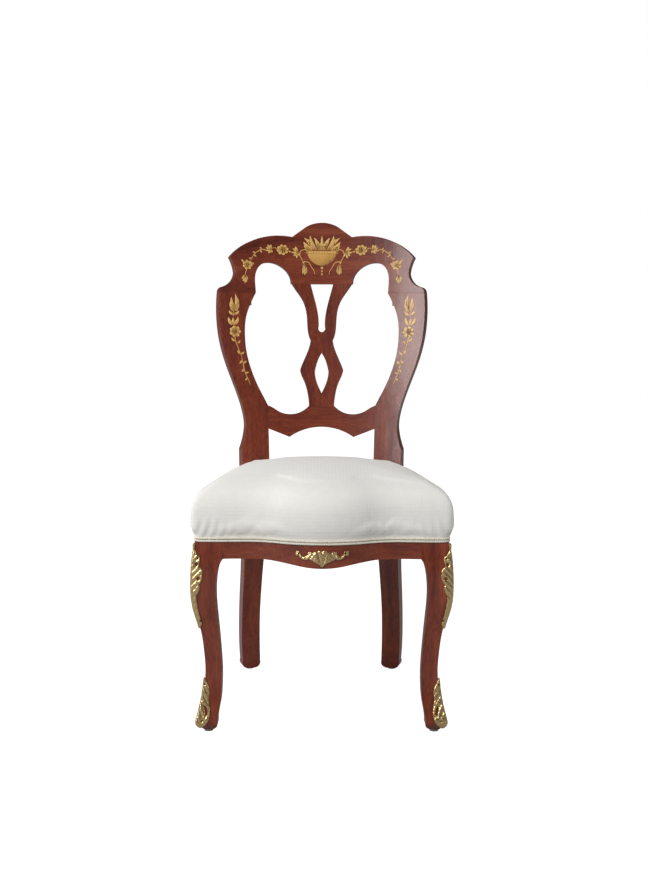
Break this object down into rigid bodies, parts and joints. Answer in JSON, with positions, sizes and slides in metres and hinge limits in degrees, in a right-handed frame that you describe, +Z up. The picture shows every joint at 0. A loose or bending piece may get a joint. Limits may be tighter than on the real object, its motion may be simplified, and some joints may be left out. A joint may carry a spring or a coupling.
{
  "type": "side chair",
  "caption": "Dining side chair: pierced lyre splat in a concave inlaid back, overstuffed serpentine seat, cabriole front legs with gilt mounts; seats one person",
  "frame": {"origin": "on the floor, under the middle of the chair's bounding box", "axes": "+X to the right of a viewer who stands in front of the chair, +Y from the front to the back, +Z up"},
  "size_m": [0.4956, 0.5839, 1.0076],
  "materials": {
    "mahogany": "french-polished gloss",
    "beech": "bare, planed",
    "steel": "plain",
    "jute": "coarse weave",
    "horsehair": "matted fibre",
    "cream_cloth": "close plain weave",
    "gimp_cord": "double cord braid",
    "black_cambric": "thin close weave",
    "gilt_brass": "chased and gilt",
    "satinwood": "polished veneer with scorched shading"
  },
  "bodies": {
    "root": {"left_back_post": "mahogany", "right_back_post": "mahogany", "crest_rail": "mahogany", "lyre_splat": "mahogany", "lower_back_rail": "mahogany", "left_front_leg": "mahogany", "right_front_leg": "mahogany", "front_seat_rail": "mahogany", "left_seat_rail": "mahogany", "right_seat_rail": "mahogany", "back_seat_rail": "mahogany", "left_front_corner_block": "beech", "right_front_corner_block": "beech", "left_rear_corner_block": "beech", "right_rear_corner_block": "beech", "crest_dowels": "beech", "corner_block_screws": "steel", "foot_glides": "steel", "webbing_lengthwise": "jute", "webbing_crosswise": "jute", "seat_base_cloth": "jute", "seat_stuffing": "horsehair", "seat_cover": "cream_cloth", "gimp_braid": "gimp_cord", "dust_cover": "black_cambric", "front_rail_mount": "gilt_brass", "left_knee_mount": "gilt_brass", "right_knee_mount": "gilt_brass", "left_foot_mount": "gilt_brass", "right_foot_mount": "gilt_brass", "mount_pins": "gilt_brass", "crest_inlay": "satinwood", "left_post_inlay": "satinwood", "right_post_inlay": "satinwood"}
  },
  "joints": []
}
